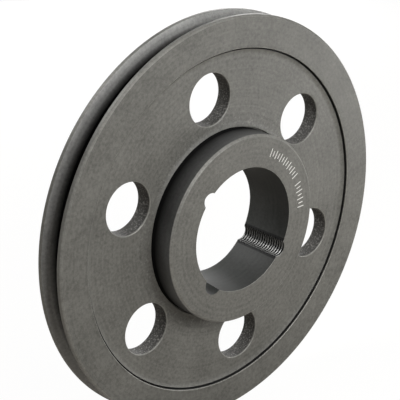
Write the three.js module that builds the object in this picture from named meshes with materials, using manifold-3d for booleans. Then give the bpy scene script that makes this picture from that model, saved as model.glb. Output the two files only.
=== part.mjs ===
// A single-groove V-belt pulley with a taper bore, cast in grey iron and turned all over.
// It turns about the Y axis. y = 0 is the middle of the groove, and the boss that carries the
// large end of the taper bore points towards -Y. Lengths are in millimetres, angles in degrees.
//
// The pulley is one casting. It is laid out here as the five regions that a foundryman names:
// two flanges, the band under the groove, the web and the hub. They meet face to face.

import * as THREE from "three";
import { mergeVertices } from "three/addons/utils/BufferGeometryUtils.js";
import Module from "manifold-3d";

const wasm = await Module();
wasm.setup();

// Groove: an SPA section on a 224 mm pitch diameter.
const PITCH_RADIUS = 224 / 2;
const PITCH_WIDTH = 11;
const GROOVE_ANGLE = 38;
const BELT_RISE = 2.75;
const GROOVE_DEPTH = 13.75;

// Rim.
const RIM_WIDTH = 19;
const RIM_EDGE_CHAMFER = 1;
const STEP_RADIUS = 97;
const STEP_EDGE_CHAMFER = 0.5;
const REAR_MOUTH_RADIUS = 96.5;
const REAR_FILLET = 4;
const REAR_DRAFT = 0.5;

// Web, with six holes that take weight out of the casting.
const WEB_RECESS = 2.4;
const WEB_THICKNESS = 9.8;
const HOLE_COUNT = 6;
const HOLE_RADIUS = 14.5;
const HOLE_CIRCLE_RADIUS = 73.1;
const FIRST_HOLE_ANGLE = 98.5;

// The narrow relief turned into the web at the foot of the step and of the boss, and the web's
// low rise towards its lip.
const RELIEF_WIDTH = 0.9;
const RELIEF_DEPTH = 1;
const RIDGE_WIDTH = 2.8;
const RIDGE_HEIGHT = 0.9;

// Hub, bored for a 2012 taper bush.
const HUB_RADIUS = 53;
const HUB_LENGTH = 31.75;
const HUB_FACE_CHAMFER = 1;
const HUB_SEAM_OFFSET = 4;
const REAR_BOSS_RADIUS = 51.5;
const REAR_BOSS_FILLET = 4;
const BORE_LARGE_RADIUS = 69.85 / 2;
const BORE_HALF_ANGLE = 4;
const BORE_REAR_CHAMFER = 3;

// Half holes in the edge of the bore: two tapped 7/16 inch Whitworth for the screws that draw
// the bush in, and a blind plain one that the same screw bears on to push the bush out.
const SCREW_CIRCLE_RADIUS = 66.7 / 2;
const SCREW_RADIUS = 11.11 / 2;
const TAPPED_HOLE_ANGLES = [136, -35.5];
const PLAIN_HOLE_RADIUS = 6.2;
const PLAIN_HOLE_DEPTH = 22;
const PLAIN_HOLE_ANGLE = -131.5;

// How far a cutter runs out past the faces that it cuts.
const OVERSHOOT = 1;

// Fineness of the round faces.
const TURN_SEGMENTS = 72;
const HOLE_SEGMENTS = 36;
const SCREW_SEGMENTS = 24;
const ARC_STEPS = 2;

// Planes and radii that follow from the sizes above.
const OUTSIDE_RADIUS = PITCH_RADIUS + BELT_RISE;
const FLOOR_RADIUS = OUTSIDE_RADIUS - GROOVE_DEPTH;
const RIM_FRONT = -RIM_WIDTH / 2;
const RIM_BACK = RIM_WIDTH / 2;
const WEB_FRONT = RIM_FRONT + WEB_RECESS;
const WEB_BACK = WEB_FRONT + WEB_THICKNESS;
const WEB_OUTER_RADIUS = REAR_MOUTH_RADIUS - REAR_DRAFT - REAR_FILLET;
const WEB_INNER_RADIUS = HUB_RADIUS + HUB_SEAM_OFFSET;
const HUB_BACK = RIM_BACK;
const HUB_FRONT = HUB_BACK - HUB_LENGTH;

const BLACKENED_IRON = { color: 0x5b5a55, roughness: 0.62, metalness: 0.35 };
const TURNED_IRON = { color: 0x66655f, roughness: 0.5, metalness: 0.4 };

function radians(degrees) {
  return THREE.MathUtils.degToRad(degrees);
}

// Half the groove's width where it is `radius` from the axis.
function grooveHalfWidth(radius) {
  return PITCH_WIDTH / 2 + (radius - PITCH_RADIUS) * Math.tan(radians(GROOVE_ANGLE / 2));
}

// Radius of the taper bore in the plane y.
function boreRadius(y) {
  return BORE_LARGE_RADIUS - (y - HUB_FRONT) * Math.tan(radians(BORE_HALF_ANGLE));
}

// Turns a closed outline of (radius, y) about the Y axis. The outline runs up its outer side.
function turned(outline) {
  const points = outline.getPoints(ARC_STEPS);
  if (!points.at(-1).equals(points[0])) points.push(points[0].clone());
  return new THREE.LatheGeometry(points, TURN_SEGMENTS);
}

// A round bar along Y between two planes, its axis at a radius and an angle from the part's own.
function bar(radius, segments, from, to, circleRadius, angle) {
  const geometry = new THREE.CylinderGeometry(radius, radius, to - from, segments);
  const x = circleRadius * Math.cos(radians(angle));
  const z = circleRadius * Math.sin(radians(angle));
  return geometry.translate(x, (from + to) / 2, z);
}

function toSolid(geometry) {
  const bare = geometry.clone();
  bare.deleteAttribute("normal");
  bare.deleteAttribute("uv");
  const merged = mergeVertices(bare);
  return new wasm.Manifold(new wasm.Mesh({
    numProp: 3,
    vertProperties: new Float32Array(merged.attributes.position.array),
    triVerts: new Uint32Array(merged.index.array),
  }));
}

function toGeometry(solid) {
  const { vertProperties, triVerts } = solid.getMesh();
  const geometry = new THREE.BufferGeometry();
  geometry.setAttribute("position", new THREE.BufferAttribute(vertProperties, 3));
  geometry.setIndex(new THREE.BufferAttribute(triVerts, 1));
  geometry.computeVertexNormals();
  return geometry;
}

function cutFrom(geometry, cutters) {
  return toGeometry(cutters.reduce((solid, cutter) => solid.subtract(toSolid(cutter)), toSolid(geometry)));
}

function mesh(name, geometry, finish) {
  const result = new THREE.Mesh(geometry, new THREE.MeshStandardMaterial(finish));
  result.name = name;
  return result;
}

// The wall between the groove and the rim's front face, with its outer edge chamfered.
function frontFlangeOutline() {
  const outline = new THREE.Path();
  outline.moveTo(FLOOR_RADIUS, RIM_FRONT);
  outline.lineTo(OUTSIDE_RADIUS - RIM_EDGE_CHAMFER, RIM_FRONT);
  outline.lineTo(OUTSIDE_RADIUS, RIM_FRONT + RIM_EDGE_CHAMFER);
  outline.lineTo(OUTSIDE_RADIUS, -grooveHalfWidth(OUTSIDE_RADIUS));
  outline.lineTo(FLOOR_RADIUS, -grooveHalfWidth(FLOOR_RADIUS));
  return outline;
}

// The same wall on the far side of the groove.
function rearFlangeOutline() {
  const outline = new THREE.Path();
  outline.moveTo(FLOOR_RADIUS, grooveHalfWidth(FLOOR_RADIUS));
  outline.lineTo(OUTSIDE_RADIUS, grooveHalfWidth(OUTSIDE_RADIUS));
  outline.lineTo(OUTSIDE_RADIUS, RIM_BACK - RIM_EDGE_CHAMFER);
  outline.lineTo(OUTSIDE_RADIUS - RIM_EDGE_CHAMFER, RIM_BACK);
  outline.lineTo(FLOOR_RADIUS, RIM_BACK);
  return outline;
}

// The band that the groove's floor is turned in. In front it ends in the low step down to the
// web, and behind it a drafted wall runs down to the web in a fillet.
function rimBandOutline() {
  const filletTop = WEB_BACK + REAR_FILLET;
  const lip = STEP_RADIUS - RELIEF_WIDTH;
  const ridgeFoot = lip - RIDGE_WIDTH;
  const outline = new THREE.Path();
  outline.moveTo(STEP_RADIUS + STEP_EDGE_CHAMFER, RIM_FRONT);
  outline.lineTo(FLOOR_RADIUS, RIM_FRONT);
  outline.lineTo(FLOOR_RADIUS, RIM_BACK);
  outline.lineTo(REAR_MOUTH_RADIUS, RIM_BACK);
  outline.lineTo(WEB_OUTER_RADIUS + REAR_FILLET, filletTop);
  outline.absarc(WEB_OUTER_RADIUS, filletTop, REAR_FILLET, 0, -Math.PI / 2, true);
  outline.lineTo(WEB_OUTER_RADIUS, WEB_FRONT);
  outline.lineTo(ridgeFoot, WEB_FRONT);
  outline.quadraticCurveTo((ridgeFoot + lip) / 2, WEB_FRONT, lip, WEB_FRONT - RIDGE_HEIGHT);
  outline.lineTo(lip, WEB_FRONT + RELIEF_DEPTH);
  outline.lineTo(STEP_RADIUS, WEB_FRONT + RELIEF_DEPTH);
  outline.lineTo(STEP_RADIUS, RIM_FRONT + STEP_EDGE_CHAMFER);
  return outline;
}

function webOutline() {
  const outline = new THREE.Path();
  outline.moveTo(WEB_INNER_RADIUS, WEB_FRONT);
  outline.lineTo(WEB_OUTER_RADIUS, WEB_FRONT);
  outline.lineTo(WEB_OUTER_RADIUS, WEB_BACK);
  outline.lineTo(WEB_INNER_RADIUS, WEB_BACK);
  outline.lineTo(WEB_INNER_RADIUS, WEB_FRONT);
  return outline;
}

function web() {
  const holes = Array.from({ length: HOLE_COUNT }, (_, i) => {
    const angle = FIRST_HOLE_ANGLE - (i * 360) / HOLE_COUNT;
    return bar(HOLE_RADIUS, HOLE_SEGMENTS, WEB_FRONT - OVERSHOOT, WEB_BACK + OVERSHOOT,
      HOLE_CIRCLE_RADIUS, angle);
  });
  return cutFrom(turned(webOutline()), holes);
}

// The boss on both sides of the web, with the taper bore through it.
function hubOutline() {
  const lip = HUB_RADIUS + RELIEF_WIDTH;
  const ridgeFoot = lip + RIDGE_WIDTH;
  const rearFoot = REAR_BOSS_RADIUS + REAR_BOSS_FILLET;
  const filletTop = WEB_BACK + REAR_BOSS_FILLET;
  const chamferStart = HUB_BACK - BORE_REAR_CHAMFER;
  const outline = new THREE.Path();
  outline.moveTo(BORE_LARGE_RADIUS, HUB_FRONT);
  outline.lineTo(HUB_RADIUS - HUB_FACE_CHAMFER, HUB_FRONT);
  outline.lineTo(HUB_RADIUS, HUB_FRONT + HUB_FACE_CHAMFER);
  outline.lineTo(HUB_RADIUS, WEB_FRONT + RELIEF_DEPTH);
  outline.lineTo(lip, WEB_FRONT + RELIEF_DEPTH);
  outline.lineTo(lip, WEB_FRONT - RIDGE_HEIGHT);
  outline.quadraticCurveTo((lip + ridgeFoot) / 2, WEB_FRONT, ridgeFoot, WEB_FRONT);
  outline.lineTo(WEB_INNER_RADIUS, WEB_FRONT);
  outline.lineTo(WEB_INNER_RADIUS, WEB_BACK);
  outline.absarc(rearFoot, filletTop, REAR_BOSS_FILLET, -Math.PI / 2, -Math.PI, true);
  outline.lineTo(REAR_BOSS_RADIUS, HUB_BACK - HUB_FACE_CHAMFER);
  outline.lineTo(REAR_BOSS_RADIUS - HUB_FACE_CHAMFER, HUB_BACK);
  outline.lineTo(boreRadius(chamferStart) + BORE_REAR_CHAMFER, HUB_BACK);
  outline.lineTo(boreRadius(chamferStart), chamferStart);
  outline.lineTo(BORE_LARGE_RADIUS, HUB_FRONT);
  return outline;
}

function hub() {
  const through = TAPPED_HOLE_ANGLES.map((angle) =>
    bar(SCREW_RADIUS, SCREW_SEGMENTS, HUB_FRONT - OVERSHOOT, HUB_BACK + OVERSHOOT,
      SCREW_CIRCLE_RADIUS, angle));
  const blind = bar(PLAIN_HOLE_RADIUS, SCREW_SEGMENTS, HUB_FRONT - OVERSHOOT,
    HUB_FRONT + PLAIN_HOLE_DEPTH, SCREW_CIRCLE_RADIUS, PLAIN_HOLE_ANGLE);
  return cutFrom(turned(hubOutline()), [...through, blind]);
}

const pulley = new THREE.Group();
pulley.name = "v_belt_pulley";
pulley.add(mesh("front_flange", turned(frontFlangeOutline()), TURNED_IRON));
pulley.add(mesh("rear_flange", turned(rearFlangeOutline()), TURNED_IRON));
pulley.add(mesh("rim_band", turned(rimBandOutline()), TURNED_IRON));
pulley.add(mesh("web", web(), BLACKENED_IRON));
pulley.add(mesh("hub", hub(), TURNED_IRON));

export default pulley;
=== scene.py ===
"""A single-groove V-belt pulley in black-finished cast iron, with a hub bored for a taper bush.

The pulley is one casting. It is built here as the five regions of the frame, with the same seams,
so that the surfaces run on from piece to piece. It turns about Y and its boss points towards -Y.
"""
from math import cos, degrees, hypot, pi, radians, sin, tan

import bmesh
import bpy
from mathutils import Matrix, Vector, noise

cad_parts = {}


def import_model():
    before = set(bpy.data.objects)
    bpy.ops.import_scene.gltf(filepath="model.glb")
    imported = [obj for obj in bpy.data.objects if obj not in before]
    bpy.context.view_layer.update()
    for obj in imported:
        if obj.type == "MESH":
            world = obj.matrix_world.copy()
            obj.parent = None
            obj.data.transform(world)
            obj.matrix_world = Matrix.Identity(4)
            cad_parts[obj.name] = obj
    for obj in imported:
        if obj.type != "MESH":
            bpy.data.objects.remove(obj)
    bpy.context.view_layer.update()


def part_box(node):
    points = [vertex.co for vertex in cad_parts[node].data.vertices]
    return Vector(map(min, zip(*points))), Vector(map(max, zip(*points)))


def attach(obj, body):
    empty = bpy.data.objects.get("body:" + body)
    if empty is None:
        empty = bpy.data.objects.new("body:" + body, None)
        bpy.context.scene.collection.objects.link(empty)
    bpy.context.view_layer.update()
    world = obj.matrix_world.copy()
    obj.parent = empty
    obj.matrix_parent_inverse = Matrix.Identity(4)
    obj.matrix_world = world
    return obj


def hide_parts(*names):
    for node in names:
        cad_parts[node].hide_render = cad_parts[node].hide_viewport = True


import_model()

MM = 0.001

# ---------------------------------------------------------------- sizes, in millimetres

# Planes and radii read off the frame.
RIM_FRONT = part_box("rim_band")[0][1] / MM
RIM_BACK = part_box("rim_band")[1][1] / MM
FLOOR_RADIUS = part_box("rim_band")[1][0] / MM
OUTSIDE_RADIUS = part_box("front_flange")[1][0] / MM
GROOVE_FLOOR_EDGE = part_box("rear_flange")[0][1] / MM
WEB_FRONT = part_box("web")[0][1] / MM
WEB_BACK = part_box("web")[1][1] / MM
WEB_OUTER_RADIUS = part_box("web")[1][0] / MM
HUB_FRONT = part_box("hub")[0][1] / MM
HUB_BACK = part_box("hub")[1][1] / MM
WEB_INNER_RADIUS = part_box("hub")[1][0] / MM

# Groove and rim.
GROOVE_HALF_ANGLE = radians(19)
GROOVE_LIP = 0.25
RIM_CHAMFER = 1.0
RIM_CHAMFER_ROUND = 0.25
STEP_RADIUS = 97.0
STEP_EDGE = 0.55
REAR_MOUTH_RADIUS = 96.5
REAR_MOUTH_ROUND = 0.5
REAR_FILLET = 4.0

# Turned relief beside the step and beside the boss, and the ridge that it leaves on the web.
RELIEF_WIDTH = 0.9
RELIEF_DEPTH = 1.0
RELIEF_DRAFT = 0.1
RIDGE_HEIGHT = 0.9
RIDGE_WIDTH = 2.8
RIDGE_STEPS = 6

# Web holes.
HOLE_COUNT = 6
HOLE_RADIUS = 14.5
HOLE_CIRCLE_RADIUS = 73.1
FIRST_HOLE_ANGLE = 98.5
HOLE_EDGE = 0.7
HOLE_SEGMENTS = 120
HOLE_WALL_ROWS = 22

# The cast skin inside the web holes: how deep its lumps are, how many there are to a millimetre,
# and how far in from the edge they start and reach their full depth.
HOLE_ROUGHNESS = 0.16
COARSE_LUMPS = 0.9
FINE_LUMPS = 2.1
FINE_SHARE = 0.6
ROUGH_FROM = 0.3
ROUGH_OVER = 1.5
SEED_STEP = 10.0

# Hub.
HUB_RADIUS = 53.0
HUB_CHAMFER = 1.2
HUB_CHAMFER_ROUND = 0.4
REAR_BOSS_RADIUS = 51.5
REAR_BOSS_FILLET = 4.0
REAR_BOSS_ROUND = 0.8
BORE_LARGE_RADIUS = 34.925
BORE_HALF_ANGLE = radians(4)
BORE_REAR_CHAMFER = 3.0
BORE_EDGE = 0.3

# Half holes in the bore's edge.
SCREW_CIRCLE_RADIUS = 33.35
THREAD_MAJOR_RADIUS = 5.556
THREAD_PITCH = 25.4 / 14
THREAD_DEPTH = 1.05
# Half of one thread as (share of the pitch, share of the depth), from mid crest to mid root.
HALF_THREAD = ((0.12, 1.0), (0.22, 0.8), (0.34, 0.4), (0.46, 0.0))
THREAD_PROFILE = [(0.0, 1.0), *HALF_THREAD, *((1 - along, rise) for along, rise in HALF_THREAD[::-1])]
SPARE_TURNS = 2
TAPPED_HOLE_ANGLES = (136.0, -35.5)
PLAIN_HOLE_RADIUS = 6.2
PLAIN_HOLE_DEPTH = 22.0
PLAIN_HOLE_ANGLE = -131.5
PLAIN_HOLE_OVERSHOOT = 2

# Etched graduation on the boss face: first angle, last angle and number of strokes in a group.
MARK_GROUPS = ((63.0, 28.0, 13), (20.5, 1.5, 7))
MARK_RADIUS = 44.0
MARK_LONG = 4.8
MARK_SHORT = 3.2
MARK_WIDTH = 0.6
MARK_DEPTH = 0.06
MARK_OVERSHOOT = 1

# Fineness of the meshes.
TURN_SEGMENTS = 360
ARC_STEPS = 5
THREAD_SEGMENTS = 56
SHARP_ANGLE = radians(28)
MERGE_DISTANCE = 1e-7


# ---------------------------------------------------------------- outlines

def rounded(corners):
    """Turns a closed loop of (radius, y, corner radius) into points, with an arc at each corner."""
    points = []
    for i, (r, y, size) in enumerate(corners):
        here = Vector((r, y))
        if size == 0:
            points.append(here)
            continue
        before = Vector(corners[i - 1][:2])
        after = Vector(corners[(i + 1) % len(corners)][:2])
        to_before = (before - here).normalized()
        to_after = (after - here).normalized()
        half = to_before.angle(to_after) / 2
        reach = size / tan(half)
        centre = here + (to_before + to_after).normalized() * (size / sin(half))
        start = here + to_before * reach - centre
        sweep = start.angle_signed(here + to_after * reach - centre)
        for k in range(ARC_STEPS + 1):
            points.append(centre + Matrix.Rotation(-sweep * k / ARC_STEPS, 2) @ start)
    return [(p.x, p.y) for p in points]


def ridge(wall_radius, outwards):
    """The web's rise towards a wall, from the flat to the lip of the relief, as (radius, y)."""
    points = []
    for k in range(RIDGE_STEPS + 1):
        t = k / RIDGE_STEPS
        distance = RELIEF_WIDTH + RIDGE_WIDTH * (1 - t)
        points.append((wall_radius + outwards * distance, WEB_FRONT - RIDGE_HEIGHT * t * t))
    return points


def front_flange_outline():
    top = -(GROOVE_FLOOR_EDGE + (OUTSIDE_RADIUS - FLOOR_RADIUS) * tan(GROOVE_HALF_ANGLE))
    return rounded([
        (FLOOR_RADIUS, RIM_FRONT, 0),
        (OUTSIDE_RADIUS - RIM_CHAMFER, RIM_FRONT, RIM_CHAMFER_ROUND),
        (OUTSIDE_RADIUS, RIM_FRONT + RIM_CHAMFER, RIM_CHAMFER_ROUND),
        (OUTSIDE_RADIUS, top, GROOVE_LIP),
        (FLOOR_RADIUS, -GROOVE_FLOOR_EDGE, 0),
    ])


def rear_flange_outline():
    mirrored = [(r, -y) for r, y in front_flange_outline()]
    return mirrored[::-1]


def rim_band_outline():
    relief_floor = WEB_FRONT + RELIEF_DEPTH
    behind = rounded([
        (FLOOR_RADIUS, RIM_BACK, 0),
        (REAR_MOUTH_RADIUS, RIM_BACK, REAR_MOUTH_ROUND),
        (WEB_OUTER_RADIUS + REAR_FILLET, WEB_BACK + REAR_FILLET, 0),
    ])
    recess = [(WEB_OUTER_RADIUS, WEB_FRONT)] + ridge(STEP_RADIUS, -1) + [
        (STEP_RADIUS - RELIEF_WIDTH + RELIEF_DRAFT, relief_floor),
        (STEP_RADIUS - RELIEF_DRAFT, relief_floor),
    ]
    step = rounded([
        (STEP_RADIUS, WEB_FRONT, 0),
        (STEP_RADIUS, RIM_FRONT, STEP_EDGE),
        (FLOOR_RADIUS, RIM_FRONT, 0),
    ])
    return behind + rear_arc() + recess + step


def rear_arc():
    """The fillet from the rim's rear wall down to the back of the web."""
    steps = 2 * ARC_STEPS
    points = []
    for k in range(1, steps + 1):
        turn = -pi / 2 * k / steps
        points.append((WEB_OUTER_RADIUS + REAR_FILLET * cos(turn),
                       WEB_BACK + REAR_FILLET + REAR_FILLET * sin(turn)))
    return points


def bore_radius(y):
    return BORE_LARGE_RADIUS - (y - HUB_FRONT) * tan(BORE_HALF_ANGLE)


def hub_outline():
    chamfer_start = HUB_BACK - BORE_REAR_CHAMFER
    front = rounded([
        (BORE_LARGE_RADIUS, HUB_FRONT, BORE_EDGE),
        (HUB_RADIUS - HUB_CHAMFER, HUB_FRONT, HUB_CHAMFER_ROUND),
        (HUB_RADIUS, HUB_FRONT + HUB_CHAMFER, HUB_CHAMFER_ROUND),
        (HUB_RADIUS, WEB_FRONT, 0),
        (bore_radius(WEB_FRONT), WEB_FRONT, 0),
    ])[:-1]
    relief = [
        (HUB_RADIUS + RELIEF_DRAFT, WEB_FRONT + RELIEF_DEPTH),
        (HUB_RADIUS + RELIEF_WIDTH - RELIEF_DRAFT, WEB_FRONT + RELIEF_DEPTH),
    ]
    rise = ridge(HUB_RADIUS, 1)[::-1]
    back = rounded([
        (WEB_INNER_RADIUS, WEB_BACK, 0),
        (REAR_BOSS_RADIUS, WEB_BACK, REAR_BOSS_FILLET),
        (REAR_BOSS_RADIUS, HUB_BACK, REAR_BOSS_ROUND),
        (bore_radius(chamfer_start) + BORE_REAR_CHAMFER, HUB_BACK, 0),
        (bore_radius(chamfer_start), chamfer_start, 0),
    ])
    return front + relief + rise + [(WEB_INNER_RADIUS, WEB_FRONT)] + back


# ---------------------------------------------------------------- meshes

def linked(name, data):
    """Puts a mesh, light or camera in the scene as an object."""
    obj = bpy.data.objects.new(name, data)
    bpy.context.scene.collection.objects.link(obj)
    return obj


def new_object(name, vertices, faces):
    mesh = bpy.data.meshes.new(name)
    mesh.from_pydata([(x * MM, y * MM, z * MM) for x, y, z in vertices], [], faces)
    mesh.validate()
    return linked(name, mesh)


def outward(obj):
    """Turns every face of a mesh outwards."""
    bm = bmesh.new()
    bm.from_mesh(obj.data)
    bmesh.ops.recalc_face_normals(bm, faces=bm.faces)
    bm.to_mesh(obj.data)
    bm.free()
    return obj


def clean_up(obj):
    """Merges doubles, turns the faces outwards and smooths all but the true edges."""
    mesh = obj.data
    bm = bmesh.new()
    bm.from_mesh(mesh)
    bmesh.ops.remove_doubles(bm, verts=bm.verts, dist=MERGE_DISTANCE)
    bmesh.ops.dissolve_degenerate(bm, dist=MERGE_DISTANCE, edges=bm.edges)
    bmesh.ops.recalc_face_normals(bm, faces=bm.faces)
    bm.to_mesh(mesh)
    bm.free()
    mesh.shade_smooth()
    mesh.set_sharp_from_angle(angle=SHARP_ANGLE)
    weighted = obj.modifiers.new("weighted", "WEIGHTED_NORMAL")
    weighted.keep_sharp = True
    return obj


def turned(name, outline):
    """Revolves a closed outline of (radius, y) about Y."""
    vertices, faces = [], []
    count = len(outline)
    for i in range(TURN_SEGMENTS):
        angle = 2 * pi * i / TURN_SEGMENTS
        for r, y in outline:
            vertices.append((r * cos(angle), y, r * sin(angle)))
        here = i * count
        there = (i + 1) % TURN_SEGMENTS * count
        for k in range(count):
            after = (k + 1) % count
            faces.append((here + k, here + after, there + after, there + k))
    return new_object(name, vertices, faces)


def cut(obj, tool):
    """Takes the tool out of the object and throws the tool away."""
    boolean = obj.modifiers.new("cut", "BOOLEAN")
    boolean.operation = "DIFFERENCE"
    boolean.solver = "EXACT"
    boolean.object = tool
    evaluated = obj.evaluated_get(bpy.context.evaluated_depsgraph_get())
    result = bpy.data.meshes.new_from_object(evaluated)
    obj.modifiers.clear()
    obj.data = result
    bpy.data.objects.remove(tool, do_unlink=True)


def on_circle(radius, angle):
    return radius * cos(radians(angle)), radius * sin(radians(angle))


def tap(angle):
    """A right-hand screw as a solid, longer than the hub, to cut a tapped hole with.

    Each row of points goes once round and drops by a pitch, so its end meets the row one turn down.
    """
    centre_x, centre_z = on_circle(SCREW_CIRCLE_RADIUS, angle)
    turns = int((HUB_BACK - HUB_FRONT) / THREAD_PITCH) + 2 * SPARE_TURNS
    rows = turns * len(THREAD_PROFILE)
    first_y = HUB_FRONT - SPARE_TURNS * THREAD_PITCH
    vertices, faces = [], []
    for j in range(rows + 1):
        turn_number, step = divmod(j, len(THREAD_PROFILE))
        along, rise = THREAD_PROFILE[step]
        radius = THREAD_MAJOR_RADIUS - THREAD_DEPTH * rise
        for i in range(THREAD_SEGMENTS):
            turn = 2 * pi * i / THREAD_SEGMENTS
            y = first_y + THREAD_PITCH * (turn_number + along - i / THREAD_SEGMENTS)
            vertices.append((centre_x + radius * cos(turn), y, centre_z + radius * sin(turn)))
    for j in range(rows):
        row = j * THREAD_SEGMENTS
        for a in range(row, row + THREAD_SEGMENTS - 1):
            faces.append((a, a + 1, a + 1 + THREAD_SEGMENTS, a + THREAD_SEGMENTS))
        last = row + THREAD_SEGMENTS - 1
        turn_down = row - len(THREAD_PROFILE) * THREAD_SEGMENTS
        if turn_down >= 0:
            faces.append((last, turn_down, turn_down + THREAD_SEGMENTS, last + THREAD_SEGMENTS))
    obj = new_object("tap", vertices, faces)
    bm = bmesh.new()
    bm.from_mesh(obj.data)
    bmesh.ops.holes_fill(bm, edges=[e for e in bm.edges if e.is_boundary], sides=0)
    bm.to_mesh(obj.data)
    bm.free()
    return outward(obj)


def plain_cutter():
    """A round bar from in front of the hub's face to the blind end of the plain half hole."""
    centre_x, centre_z = on_circle(SCREW_CIRCLE_RADIUS, PLAIN_HOLE_ANGLE)
    vertices = []
    for y in (HUB_FRONT - PLAIN_HOLE_OVERSHOOT, HUB_FRONT + PLAIN_HOLE_DEPTH):
        for i in range(THREAD_SEGMENTS):
            turn = 2 * pi * i / THREAD_SEGMENTS
            vertices.append((centre_x + PLAIN_HOLE_RADIUS * cos(turn), y,
                             centre_z + PLAIN_HOLE_RADIUS * sin(turn)))
    faces = [tuple(range(THREAD_SEGMENTS)), tuple(range(THREAD_SEGMENTS, 2 * THREAD_SEGMENTS))]
    for i in range(THREAD_SEGMENTS):
        after = (i + 1) % THREAD_SEGMENTS
        faces.append((i, after, THREAD_SEGMENTS + after, THREAD_SEGMENTS + i))
    return outward(new_object("bar", vertices, faces))


def hub():
    """The boss, with its tapped and plain half holes and the strokes etched on its face."""
    obj = outward(turned("hub_boss", hub_outline()))
    for angle in TAPPED_HOLE_ANGLES:
        cut(obj, tap(angle))
    cut(obj, plain_cutter())
    cut(obj, graduation())
    return clean_up(obj)


def hole_rings(centre_x, centre_z, seed):
    """Rings of points from the front of the web, round the edge and down the cast wall, to the back."""
    edge = []
    for k in range(ARC_STEPS + 1):
        turn = pi / 2 * k / ARC_STEPS
        edge.append((HOLE_RADIUS + HOLE_EDGE * (1 - sin(turn)), WEB_FRONT + HOLE_EDGE * (1 - cos(turn))))
    first, last = WEB_FRONT + HOLE_EDGE, WEB_BACK - HOLE_EDGE
    wall = [(HOLE_RADIUS, first + (last - first) * k / HOLE_WALL_ROWS) for k in range(1, HOLE_WALL_ROWS)]
    back = [(r, WEB_FRONT + WEB_BACK - y) for r, y in edge[::-1]]
    rings = []
    for r, y in edge + wall + back:
        from_face = min(y - WEB_FRONT, WEB_BACK - y)
        fade = min(1, max(0, (from_face - ROUGH_FROM) / ROUGH_OVER))
        ring = []
        for i in range(HOLE_SEGMENTS):
            turn = 2 * pi * i / HOLE_SEGMENTS
            spot = Vector((r * cos(turn), y, r * sin(turn)))
            lumps = noise.noise(spot * COARSE_LUMPS + Vector((seed, 0, 0)))
            lumps += FINE_SHARE * noise.noise(spot * FINE_LUMPS)
            radius = r + HOLE_ROUGHNESS * fade * lumps
            ring.append((centre_x + radius * cos(turn), y, centre_z + radius * sin(turn)))
        rings.append(ring)
    return rings


def web():
    """The flat disc between the hub and the rim, with six cast holes through it."""
    bm = bmesh.new()
    fronts, backs = [], []

    def loop(points):
        vertices = [bm.verts.new(Vector(p) * MM) for p in points]
        edges = [bm.edges.new((a, b)) for a, b in zip(vertices, vertices[1:] + vertices[:1])]
        return vertices, edges

    def wall(rings):
        """Joins each ring of vertices to the next one, and keeps the first and last rings' edges."""
        first, first_edges = loop(rings[0])
        last, last_edges = loop(rings[-1])
        middle = [[bm.verts.new(Vector(p) * MM) for p in ring] for ring in rings[1:-1]]
        joined = [first] + middle + [last]
        for near, far in zip(joined, joined[1:]):
            for i in range(len(near)):
                j = (i + 1) % len(near)
                bm.faces.new((near[i], near[j], far[j], far[i]))
        fronts.extend(first_edges)
        backs.extend(last_edges)

    for radius in (WEB_INNER_RADIUS, WEB_OUTER_RADIUS):
        around = [on_circle(radius, 360 * i / TURN_SEGMENTS) for i in range(TURN_SEGMENTS)]
        wall([[(x, y, z) for x, z in around] for y in (WEB_FRONT, WEB_BACK)])
    for k in range(HOLE_COUNT):
        centre = on_circle(HOLE_CIRCLE_RADIUS, FIRST_HOLE_ANGLE - k * 360 / HOLE_COUNT)
        wall(hole_rings(*centre, SEED_STEP * k))
    for edges in (fronts, backs):
        bmesh.ops.triangle_fill(bm, use_beauty=True, use_dissolve=False, edges=edges, normal=(0, -1, 0))
    mesh = bpy.data.meshes.new("web_disc")
    bm.to_mesh(mesh)
    bm.free()
    return clean_up(linked("web_disc", mesh))


def stroke(angle, length):
    """A thin block that cuts one radial stroke of the graduation into the boss face."""
    corners = []
    for end, side in ((-1, -1), (1, -1), (1, 1), (-1, 1)):
        radius = MARK_RADIUS + end * length / 2
        corners.append(on_circle(radius, angle + degrees(side * MARK_WIDTH / 2 / radius)))
    vertices = []
    for y in (HUB_FRONT - MARK_OVERSHOOT, HUB_FRONT + MARK_DEPTH):
        vertices += [(x, y, z) for x, z in corners]
    faces = [(0, 1, 2, 3), (7, 6, 5, 4)]
    faces += [(i, i + 4, (i + 1) % 4 + 4, (i + 1) % 4) for i in range(4)]
    return vertices, faces


def graduation():
    """All the strokes as one cutter. They are plain marks that say nothing."""
    vertices, faces = [], []
    for first, last, count in MARK_GROUPS:
        for k in range(count):
            length = MARK_SHORT if k % 2 else MARK_LONG
            corners, sides = stroke(first + (last - first) * k / (count - 1), length)
            faces += [[index + len(vertices) for index in side] for side in sides]
            vertices += corners
    return outward(new_object("graduation", vertices, faces))


# ---------------------------------------------------------------- materials

# The skin's patterns: the size of the largest lumps in millimetres, and each one's share of the colour.
CLOUD_GRAIN = 22
MOTTLE_GRAIN = 1.7
FINE_GRAIN = 0.5
TURNING_GRAIN = 1.6
CLOUD_SHARE = 0.25
MOTTLE_SHARE = 0.45
TURNING_SHARE = 0.15
FINE_COLOUR_SHARE = 0.15

# The part of the noise, which runs from 0 to 1, that is stretched to go from none to all.
NOISE_SPAN = (0.3, 0.7)
MOTTLE_SPAN = (0.32, 0.68)
CAST_SPECK_SPAN = (0.53, 0.64)
DUST_SPAN = (0.55, 0.68)

# How far the roughness strays from its middle value, and the pitch of the rings the tool leaves.
ROUGHNESS_SPREAD = 0.06
RING_PITCH = 0.5

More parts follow.
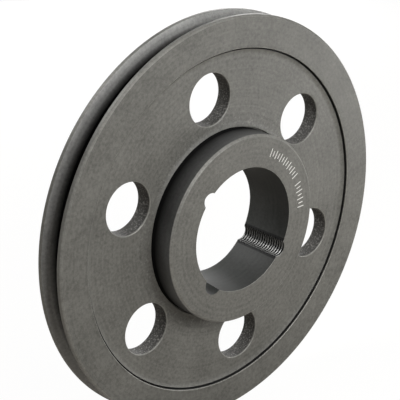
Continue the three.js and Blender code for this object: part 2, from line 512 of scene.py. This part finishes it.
# Bare specks, and painted shade where shade falls in the groove and at the foot of the boss.
SPECK = (0.30, 0.29, 0.27)
SPECK_GRAIN = 0.9
DUST_GRAIN = 1.3
DUST_STRENGTH = 0.5
DUST_FROM = 56.0
DUST_TO = 70.0
PAINTED_SHADE_COLOUR = (0.018, 0.018, 0.018)
GLOSS = 0.5
METAL_GRAIN = 0.6
GROOVE_SHADE_TOP = FLOOR_RADIUS + 6
GROOVE_UNSHADED_FROM = FLOOR_RADIUS + 9.5
WALL_SHADE_TOP = WEB_FRONT - 2.5


def node_material(name):
    material = bpy.data.materials.new(name)
    material.use_nodes = True
    return material, material.node_tree.nodes, material.node_tree.links


class Nodes:
    """Short ways to add the nodes that the iron materials are made of."""

    def __init__(self, name):
        self.material, self.nodes, self.links = node_material(name)
        self.shader = self.nodes["Principled BSDF"]
        self.shader.inputs["IOR"].default_value = 1.5
        self.place = self.nodes.new("ShaderNodeTexCoord").outputs["Object"]
        split = self.nodes.new("ShaderNodeSeparateXYZ")
        self.links.new(self.place, split.inputs["Vector"])
        x, self.y, z = split.outputs
        x_squared = self.math("MULTIPLY", x, x)
        z_squared = self.math("MULTIPLY", z, z)
        self.radius = self.math("SQRT", self.math("ADD", x_squared, z_squared))

    def math(self, operation, a, b=None):
        node = self.nodes.new("ShaderNodeMath")
        node.operation = operation
        for socket, value in zip(node.inputs, (a, b)):
            if isinstance(value, (int, float)):
                socket.default_value = value
            elif value is not None:
                self.links.new(value, socket)
        return node.outputs["Value"]

    def weighted(self, *parts):
        """The sum of (socket, weight) pairs."""
        total = None
        for value, weight in parts:
            part = self.math("MULTIPLY", value, weight)
            total = part if total is None else self.math("ADD", total, part)
        return total

    def ramp(self, value, low, high):
        """0 at `low` and 1 at `high`, and straight between them."""
        node = self.nodes.new("ShaderNodeMapRange")
        self.links.new(value, node.inputs["Value"])
        node.inputs["From Min"].default_value = low
        node.inputs["From Max"].default_value = high
        return node.outputs["Result"]

    def noise(self, grain, detail, rough=0.6):
        """Noise whose largest lumps are about `grain` millimetres across."""
        node = self.nodes.new("ShaderNodeTexNoise")
        node.inputs["Scale"].default_value = 1 / (grain * MM)
        node.inputs["Detail"].default_value = detail
        node.inputs["Roughness"].default_value = rough
        self.links.new(self.place, node.inputs["Vector"])
        return node.outputs["Fac"]

    def rings(self, width):
        """Noise that changes only with the radius and with y, as a lathe leaves it."""
        node = self.nodes.new("ShaderNodeTexNoise")
        node.noise_dimensions = "1D"
        node.inputs["Scale"].default_value = 1 / (width * MM)
        node.inputs["Detail"].default_value = 3
        self.links.new(self.math("ADD", self.radius, self.y), node.inputs["W"])
        return node.outputs["Fac"]

    def mix(self, factor, a, b):
        node = self.nodes.new("ShaderNodeMix")
        node.data_type = "RGBA"
        for name, value in (("A", a), ("B", b)):
            if isinstance(value, tuple):
                node.inputs[name].default_value = (*value, 1)
            else:
                self.links.new(value, node.inputs[name])
        self.links.new(factor, node.inputs["Factor"])
        return node.outputs["Result"]


def bare_specks(made, colour, grain, span, strength):
    """Lays bare metal over the colour wherever the noise is high."""
    specks = made.ramp(made.noise(grain, 2), *span)
    return made.mix(made.math("MULTIPLY", specks, strength), colour, SPECK)


def cast_specks(strength):
    """Specks all over a cast skin."""
    return lambda made, colour: bare_specks(made, colour, SPECK_GRAIN, CAST_SPECK_SPAN, strength)


def dust_by_hub(made, colour):
    """Specks on the web that thin out away from the boss, and none on the boss itself."""
    off_hub = made.ramp(made.radius, HUB_RADIUS * MM, DUST_FROM * MM)
    near_hub = made.math("MULTIPLY", off_hub, made.ramp(made.radius, DUST_TO * MM, DUST_FROM * MM))
    strength = made.math("MULTIPLY", near_hub, DUST_STRENGTH)
    return bare_specks(made, colour, DUST_GRAIN, DUST_SPAN, strength)


def paint_shade(made, colour, fade):
    """Paints shade: takes the colour and the gloss away where the fade is 0."""
    made.links.new(made.math("MULTIPLY", fade, GLOSS), made.shader.inputs["Specular IOR Level"])
    return made.mix(fade, PAINTED_SHADE_COLOUR, colour)


def groove_painted_shade(made, colour):
    """Painted shade on the groove's floor and the lower part of its walls."""
    return paint_shade(made, colour, made.ramp(made.radius, GROOVE_SHADE_TOP * MM, GROOVE_UNSHADED_FROM * MM))


def wall_painted_shade(made, colour):
    """Painted shade at the foot of the boss, darker towards the web."""
    return paint_shade(made, colour, made.ramp(made.y, WALL_SHADE_TOP * MM, HUB_FRONT * MM))


def iron(name, dark, light, roughness, grain, metallic=0.0, ring_height=0.0, over=None):
    """Blackened iron: cloudy colour, fine grain and the rings that the lathe tool leaves.

    `grain` and `ring_height` are heights in millimetres. `over` lays something on the colour.
    """
    made = Nodes(name)
    made.shader.inputs["Metallic"].default_value = metallic
    clouds = made.ramp(made.noise(CLOUD_GRAIN, 4), *NOISE_SPAN)
    mottle = made.ramp(made.noise(MOTTLE_GRAIN, 4, 0.65), *MOTTLE_SPAN)
    turning = made.ramp(made.rings(TURNING_GRAIN), *NOISE_SPAN)
    fine = made.noise(FINE_GRAIN, 3, 0.7)
    blend = made.weighted((clouds, CLOUD_SHARE), (mottle, MOTTLE_SHARE), (turning, TURNING_SHARE),
                          (made.ramp(fine, *NOISE_SPAN), FINE_COLOUR_SHARE))
    colour = made.mix(blend, dark, light)
    if over:
        colour = over(made, colour)
    made.links.new(colour, made.shader.inputs["Base Color"])
    spread = made.math("MULTIPLY", mottle, 2 * ROUGHNESS_SPREAD)
    uneven = made.math("ADD", roughness - ROUGHNESS_SPREAD, spread)
    made.links.new(uneven, made.shader.inputs["Roughness"])
    height = made.math("MULTIPLY", made.math("ADD", fine, mottle), grain)
    if ring_height:
        turns = made.math("MULTIPLY", made.math("ADD", made.radius, made.y), 2 * pi / (RING_PITCH * MM))
        height = made.math("ADD", height, made.math("MULTIPLY", made.math("SINE", turns), ring_height))
    bump = made.nodes.new("ShaderNodeBump")
    bump.inputs["Distance"].default_value = MM
    made.links.new(height, bump.inputs["Height"])
    made.links.new(bump.outputs["Normal"], made.shader.inputs["Normal"])
    return made.material


def bare_metal(name, dark, light, roughness, metallic):
    """Iron that is bare of its blacking: where it was etched, or where a screw has rubbed it."""
    made = Nodes(name)
    made.shader.inputs["Roughness"].default_value = roughness
    made.shader.inputs["Metallic"].default_value = metallic
    made.links.new(made.mix(made.noise(METAL_GRAIN, 2), dark, light), made.shader.inputs["Base Color"])
    return made.material


FACE = iron("turned_face", (0.058, 0.0568, 0.0495), (0.213, 0.2095, 0.189), 0.50, 0.024,
            ring_height=0.0008, over=dust_by_hub)
# Lighter iron on chamfers, lips, the outer land and the hole and step edges: partly worn bare edges,
# partly a painted highlight.
EDGE = iron("turned_edge", (0.165, 0.162, 0.149), (0.400, 0.394, 0.361), 0.40, 0.015, metallic=0.2)
# The groove's iron, with painted shade on its floor and the lower part of its walls.
GROOVE = iron("turned_groove", (0.220, 0.219, 0.211), (0.520, 0.517, 0.500), 0.38, 0.012,
              ring_height=0.0006, over=groove_painted_shade)
# The boss wall's iron, with painted shade that darkens it towards the web.
WALL = iron("hub_wall", (0.125, 0.126, 0.125), (0.265, 0.266, 0.262), 0.45, 0.020,
            ring_height=0.0010, over=wall_painted_shade)
# Near-black painted shade for the step's wall and relief floor, and for the threads' roots and flanks.
PAINTED_RECESS_SHADE = iron("painted_recess_shade", (0.008, 0.008, 0.008), (0.030, 0.030, 0.029), 0.60, 0.020)
BORE = iron("bored_taper", (0.030, 0.031, 0.029), (0.085, 0.087, 0.082), 0.54, 0.010, ring_height=0.0010)
CAST = iron("as_cast", (0.030, 0.029, 0.026), (0.110, 0.106, 0.098), 0.62, 0.12, over=cast_specks(0.8))
ROUGH = iron("cast_back", (0.050, 0.049, 0.044), (0.160, 0.157, 0.144), 0.60, 0.10, over=cast_specks(0.15))
ETCHED = bare_metal("etched_bright", (0.60, 0.59, 0.56), (0.95, 0.94, 0.91), 0.6, 0.0)
CREST = bare_metal("worn_crest", (0.24, 0.24, 0.23), (0.42, 0.42, 0.41), 0.42, 0.7)


# ---------------------------------------------------------------- the pulley

RIM_MATERIALS = (FACE, GROOVE, EDGE, ROUGH, PAINTED_RECESS_SHADE)
WEB_MATERIALS = (FACE, CAST, ROUGH, EDGE)
HUB_MATERIALS = (FACE, BORE, ETCHED, CREST, WALL, EDGE, ROUGH, PAINTED_RECESS_SHADE)

# How near a face's middle is taken to be on a surface, in millimetres.
NEAR = 0.1

# The least share of a face's normal along the axis, or away from it, for the face to count as such.
FLAT = 0.99
ALMOST_FLAT = 0.95
ROUND_THE_AXIS = 0.9
OUTWARDS = 0.1

# Heights on a thread: the band that the threads fill, and where a crest starts.
THREAD_BAND = (-0.1, 1.12)
CREST_FROM = 0.88


def finish_piece(obj, node, materials, choose):
    """Gives a piece its materials, puts it on the frame and hides the node it stands for."""
    obj.data.materials.clear()
    for material in materials:
        obj.data.materials.append(material)
    for polygon in obj.data.polygons:
        polygon.material_index = materials.index(choose(polygon))
    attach(obj, "root")
    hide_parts(node)


def facing(polygon):
    """How far the face's middle is from the axis in millimetres, its y, and its normal outwards."""
    x, y, z = polygon.center / MM
    radius = hypot(x, z)
    normal = polygon.normal
    return radius, y, (normal.x * x + normal.z * z) / radius


def on_rim(polygon):
    """The material of a face on either flange or on the rim band."""
    radius, y, outwards = facing(polygon)
    level = abs(polygon.normal.y)
    by_step = STEP_RADIUS - RELIEF_WIDTH - NEAR / 2 < radius < STEP_RADIUS + STEP_EDGE
    if by_step and y < WEB_BACK - NEAR:
        # Beside the step, the wall and the relief floor get painted shade.
        if y > RIM_FRONT + STEP_EDGE:
            return PAINTED_RECESS_SHADE
        return FACE if level >= ALMOST_FLAT else EDGE
    chamfer = RIM_CHAMFER + 2 * NEAR
    on_chamfer = radius > OUTSIDE_RADIUS - chamfer and abs(y) > RIM_BACK - chamfer and level < FLAT
    if radius > OUTSIDE_RADIUS - 2 * NEAR or on_chamfer:
        return EDGE
    if outwards > OUTWARDS and abs(y) < RIM_BACK - RIM_CHAMFER:
        return GROOVE
    return ROUGH if y > WEB_BACK - NEAR and radius < REAR_MOUTH_RADIUS - NEAR else FACE


def thread_height(polygon):
    """How high the face is on a thread, from 0 at its root to 1 at its crest, or None elsewhere."""
    x, _, z = polygon.center / MM
    for angle in TAPPED_HOLE_ANGLES:
        centre_x, centre_z = on_circle(SCREW_CIRCLE_RADIUS, angle)
        height = (THREAD_MAJOR_RADIUS - hypot(x - centre_x, z - centre_z)) / THREAD_DEPTH
        if THREAD_BAND[0] < height < THREAD_BAND[1]:
            return height
    return None


def on_hub(polygon):
    """The material of a face on the boss."""
    radius, y, outwards = facing(polygon)
    if abs(y - HUB_FRONT - MARK_DEPTH) < NEAR / 10 and polygon.normal.y < -FLAT:
        return ETCHED
    within = radius < SCREW_CIRCLE_RADIUS + PLAIN_HOLE_RADIUS + NEAR
    if within and HUB_FRONT + NEAR < y < HUB_BACK - NEAR:
        height = thread_height(polygon)
        if height is None:
            return BORE
        # Thread roots and flanks get painted shade; the crests are worn bare.
        return CREST if height > CREST_FROM else PAINTED_RECESS_SHADE
    if outwards > ROUND_THE_AXIS and y < WEB_FRONT + RELIEF_DEPTH:
        return WALL
    if y < HUB_FRONT + HUB_CHAMFER and abs(polygon.normal.y) < ALMOST_FLAT:
        return EDGE
    return ROUGH if y > WEB_BACK - NEAR and outwards > 0 and polygon.normal.y < FLAT else FACE


def on_web(polygon):
    """The material of a face on the web."""
    radius, y, _ = facing(polygon)
    if polygon.normal.y > ALMOST_FLAT:
        return ROUGH
    on_seam = min(radius - WEB_INNER_RADIUS, WEB_OUTER_RADIUS - radius) < NEAR
    if polygon.normal.y < -ALMOST_FLAT or on_seam:
        return FACE
    return EDGE if y < WEB_FRONT + HOLE_EDGE else CAST


def ring(name, outline):
    return clean_up(turned(name, outline))


finish_piece(ring("front_flange_ring", front_flange_outline()), "front_flange", RIM_MATERIALS, on_rim)
finish_piece(ring("rear_flange_ring", rear_flange_outline()), "rear_flange", RIM_MATERIALS, on_rim)
finish_piece(ring("rim_band_ring", rim_band_outline()), "rim_band", RIM_MATERIALS, on_rim)
finish_piece(web(), "web", WEB_MATERIALS, on_web)
finish_piece(hub(), "hub", HUB_MATERIALS, on_hub)


# ---------------------------------------------------------------- floor, light and camera, in metres

STAND_HEIGHT = -OUTSIDE_RADIUS * MM
FLOOR_REACH = 6
FLOOR_COLOUR = (0.45, 0.42, 0.38, 1)
FLOOR_ROUGHNESS = 0.9

# The camera sees the floor and the sky as white paper. Neither lights the pulley as if it were white.
WHITE = (1, 1, 1, 1)
FLOOR_WHITENESS = 0.85
FLOOR_GLOW = 1.12
SKY_LIGHT = 0.01

# The camera: angles in degrees, place in metres, lens and sensor in millimetres.
VIEW_AZIMUTH = -42.9
VIEW_ELEVATION = 22.56
CAMERA_POSITION = (-0.5098, -0.5360, 0.3179)
LENS = 132.06
SENSOR_WIDTH = 36
CLIP_START = 0.05

# Name, direction from the pulley, distance, side and watts of each light.
SOFTBOXES = (
    ("key", (-0.12, -0.87, 0.48), 0.6, 0.35, 1.7),
    ("key_right", (0.24, -0.87, 0.46), 0.55, 0.3, 1.1),
    ("right", (0.87, -0.49, -0.04), 0.42, 0.18, 0.42),
    ("rim_light", (-0.4, 0.4, 0.85), 0.9, 0.45, 3.5),
    ("back", (0.55, 0.83, 0.1), 0.9, 0.6, 4.0),
)


def floor():
    bm = bmesh.new()
    bmesh.ops.create_grid(bm, x_segments=8, y_segments=8, size=FLOOR_REACH)
    mesh = bpy.data.meshes.new("floor")
    bm.to_mesh(mesh)
    bm.free()
    obj = linked("floor", mesh)
    obj.location.z = STAND_HEIGHT
    material, nodes, links = node_material("pale_floor")
    shader = nodes["Principled BSDF"]
    shader.inputs["Base Color"].default_value = FLOOR_COLOUR
    shader.inputs["Roughness"].default_value = FLOOR_ROUGHNESS
    glow = nodes.new("ShaderNodeEmission")
    glow.inputs["Strength"].default_value = FLOOR_GLOW
    rays = nodes.new("ShaderNodeLightPath")
    share = nodes.new("ShaderNodeMath")
    share.operation = "MULTIPLY"
    share.inputs[1].default_value = FLOOR_WHITENESS
    mix = nodes.new("ShaderNodeMixShader")
    links.new(rays.outputs["Is Camera Ray"], share.inputs[0])
    links.new(share.outputs["Value"], mix.inputs["Fac"])
    links.new(shader.outputs["BSDF"], mix.inputs[1])
    links.new(glow.outputs["Emission"], mix.inputs[2])
    links.new(mix.outputs["Shader"], nodes["Material Output"].inputs["Surface"])
    mesh.materials.append(material)


def softbox(name, direction, distance, side, watts):
    """A square area light that looks at the pulley from a direction."""
    light = bpy.data.lights.new(name, "AREA")
    light.size = side
    light.energy = watts
    obj = linked(name, light)
    towards = Vector(direction).normalized()
    obj.location = towards * distance
    obj.rotation_euler = (-towards).to_track_quat("-Z", "Y").to_euler()


def camera():
    data = bpy.data.cameras.new("camera")
    data.lens = LENS
    data.sensor_width = SENSOR_WIDTH
    data.clip_start = CLIP_START
    obj = linked("camera", data)
    azimuth, elevation = radians(VIEW_AZIMUTH), radians(VIEW_ELEVATION)
    look = Vector((-sin(azimuth) * cos(elevation), cos(azimuth) * cos(elevation), -sin(elevation)))
    obj.location = CAMERA_POSITION
    obj.rotation_euler = look.to_track_quat("-Z", "Y").to_euler()
    bpy.context.scene.camera = obj


def world():
    """White where the camera sees it, and a dimmer sky for the light that it gives."""
    sky = bpy.data.worlds.new("studio")
    sky.use_nodes = True
    nodes, links = sky.node_tree.nodes, sky.node_tree.links
    lit = nodes["Background"]
    lit.inputs["Color"].default_value = WHITE
    lit.inputs["Strength"].default_value = SKY_LIGHT
    seen = nodes.new("ShaderNodeBackground")
    seen.inputs["Color"].default_value = WHITE
    seen.inputs["Strength"].default_value = 1.0
    rays = nodes.new("ShaderNodeLightPath")
    mix = nodes.new("ShaderNodeMixShader")
    links.new(rays.outputs["Is Camera Ray"], mix.inputs["Fac"])
    links.new(lit.outputs["Background"], mix.inputs[1])
    links.new(seen.outputs["Background"], mix.inputs[2])
    links.new(mix.outputs["Shader"], nodes["World Output"].inputs["Surface"])
    bpy.context.scene.world = sky
    bpy.context.scene.view_settings.view_transform = "Standard"


floor()
for settings in SOFTBOXES:
    softbox(*settings)
world()
camera()
